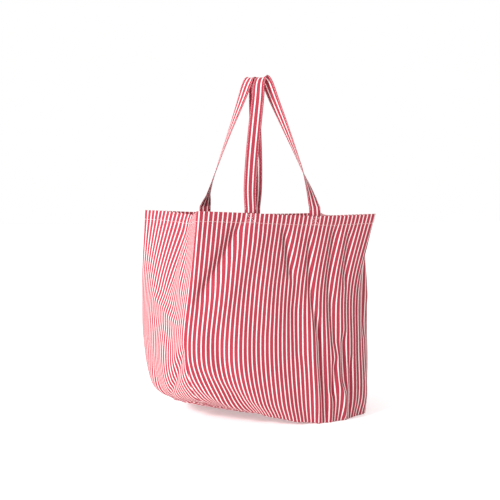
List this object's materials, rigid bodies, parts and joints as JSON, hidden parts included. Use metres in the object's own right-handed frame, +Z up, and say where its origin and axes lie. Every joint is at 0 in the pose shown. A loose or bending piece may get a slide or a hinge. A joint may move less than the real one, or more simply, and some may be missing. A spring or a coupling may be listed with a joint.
{
  "type": "laundry bag",
  "caption": "Tall soft laundry bag in red and white ticking stripe, open at the top, with folded side gussets, a stitched hem and long flat self-fabric handles.",
  "frame": {"origin": "middle of the outline at ground level", "axes": "+Z up, +X to the right seen from the front, +Y to the back"},
  "size_m": [0.5272, 0.392, 0.804],
  "materials": {
    "ticking_cloth": "woven cotton ticking, matt, narrow red and white warp stripes",
    "hem_cloth": "the same ticking, turned in and stitched",
    "strap_cloth": "the same ticking folded into a flat strap",
    "stitch_thread": "matt cotton sewing thread"
  },
  "bodies": {
    "bag": {"front_panel": "ticking_cloth", "right_gusset": "ticking_cloth", "back_panel": "ticking_cloth", "left_gusset": "ticking_cloth", "base_panel": "ticking_cloth", "front_hem": "hem_cloth", "right_hem": "hem_cloth", "back_hem": "hem_cloth", "left_hem": "hem_cloth", "hem_topstitch": "stitch_thread", "front_strap_end_left": "strap_cloth", "front_box_stitch_left": "stitch_thread", "front_strap_end_right": "strap_cloth", "front_box_stitch_right": "stitch_thread", "back_strap_end_left": "strap_cloth", "back_box_stitch_left": "stitch_thread", "back_strap_end_right": "strap_cloth", "back_box_stitch_right": "stitch_thread"},
    "front_handle": {"front_handle_strap": "strap_cloth"},
    "back_handle": {"back_handle_strap": "strap_cloth"}
  },
  "joints": [
    {"name": "front_handle_swing", "type": "hinge", "parent": "bag", "child": "front_handle", "pos_m": [-0.0025, -0.1212, 0.4857], "axis": [1, 0, 0], "range_deg": [0, 140]},
    {"name": "back_handle_swing", "type": "hinge", "parent": "bag", "child": "back_handle", "pos_m": [-0.0155, 0.1388, 0.4889], "axis": [-1, 0, 0], "range_deg": [0, 140]}
  ]
}
